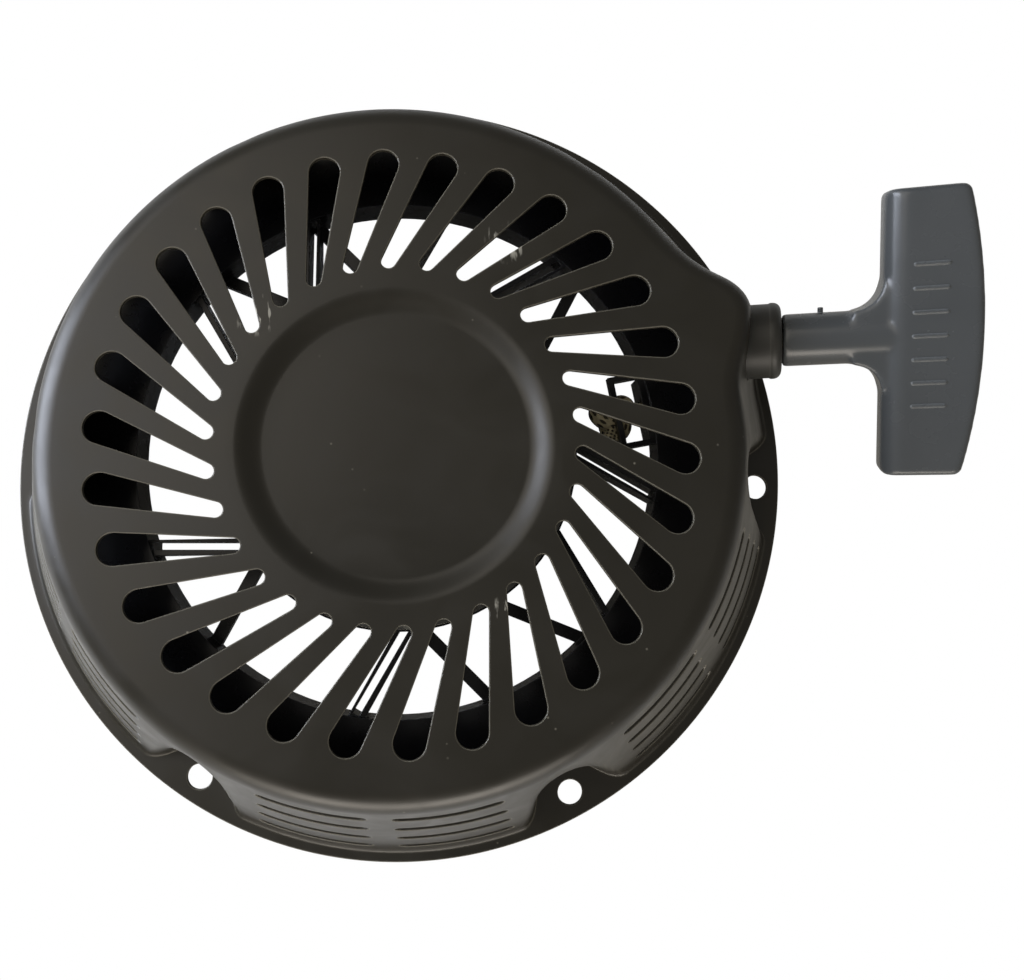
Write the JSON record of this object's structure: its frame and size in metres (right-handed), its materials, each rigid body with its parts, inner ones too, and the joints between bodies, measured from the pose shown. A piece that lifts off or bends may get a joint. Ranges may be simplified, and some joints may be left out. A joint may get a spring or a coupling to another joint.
{
  "type": "recoil starter",
  "caption": "Pull-rope recoil starter for a small engine: slotted steel cover, sprung rope reel with ratchet pawls, and a T-handle.",
  "frame": {"origin": "centre of the flange's mating face, on the reel's axis", "axes": "+Z along the reel's axis to the slotted face, +X along the rope's pull seen from above, +Y towards the side that the rope leaves the reel on"},
  "size_m": [0.2836, 0.24, 0.0688],
  "materials": {
    "cover_paint": "satin",
    "plain_steel": "satin",
    "zinc_steel": "satin",
    "bush_rubber": "matte",
    "reel_plastic": "semi-gloss",
    "bush_bronze": "satin",
    "spring_steel": "satin",
    "rope_cord": "braided",
    "grip_plastic": "satin"
  },
  "bodies": {
    "housing": {"cover": "cover_paint", "post_plate": "plain_steel", "centre_post": "plain_steel", "centre_screw": "zinc_steel", "guide_washer": "zinc_steel", "rope_bush": "bush_rubber", "rope_run": "rope_cord"},
    "reel": {"reel": "reel_plastic", "reel_bushing": "bush_bronze", "thrust_washer": "plain_steel", "spring_retainer": "plain_steel", "retainer_screws": "zinc_steel", "recoil_spring": "spring_steel", "pawl_pins": "plain_steel", "pawl_spring_1": "spring_steel", "pawl_spring_2": "spring_steel", "rope_winding": "rope_cord", "reel_knot": "rope_cord"},
    "guide": {"ratchet_guide": "reel_plastic", "friction_spring": "spring_steel"},
    "pawl_1": {"pawl_1": "plain_steel"},
    "pawl_2": {"pawl_2": "plain_steel"},
    "handle": {"handle_grip": "grip_plastic", "handle_washer": "zinc_steel", "handle_knot": "rope_cord", "rope_tail": "rope_cord"}
  },
  "joints": [
    {"name": "reel_spin", "type": "hinge", "parent": "housing", "child": "reel", "pos_m": [0, 0, 0.03], "axis": [0, 0, -1], "range_deg": [0, 869], "stiffness_Nm_per_rad": 0.04, "springref_deg": -286.48, "deforming": ["recoil_spring", "rope_winding"]},
    {"name": "handle_pull", "type": "slide", "parent": "housing", "child": "handle", "axis": [0.9468, -0.0895, 0.309], "range_m": [0, 1.305]},
    {"name": "guide_turn", "type": "hinge", "parent": "reel", "child": "guide", "pos_m": [0, 0, 0.012], "axis": [0, 0, 1], "range_deg": [0, 40], "stiffness_Nm_per_rad": 0.004, "springref_deg": -11.46},
    {"name": "pawl_1_swing", "type": "hinge", "parent": "reel", "child": "pawl_1", "pos_m": [0.028, 0, 0.018], "axis": [0, 0, 1], "range_deg": [0, 30.2]},
    {"name": "pawl_2_swing", "type": "hinge", "parent": "reel", "child": "pawl_2", "pos_m": [-0.028, 0, 0.018], "axis": [0, 0, 1], "range_deg": [0, 30.2]}
  ],
  "couplings": [
    {"joint": "handle_pull", "follows": "reel_spin", "m_per_rad": 0.0859},
    {"joint": "pawl_1_swing", "follows": "guide_turn", "ratio": 0.75},
    {"joint": "pawl_2_swing", "follows": "guide_turn", "ratio": 0.75}
  ]
}
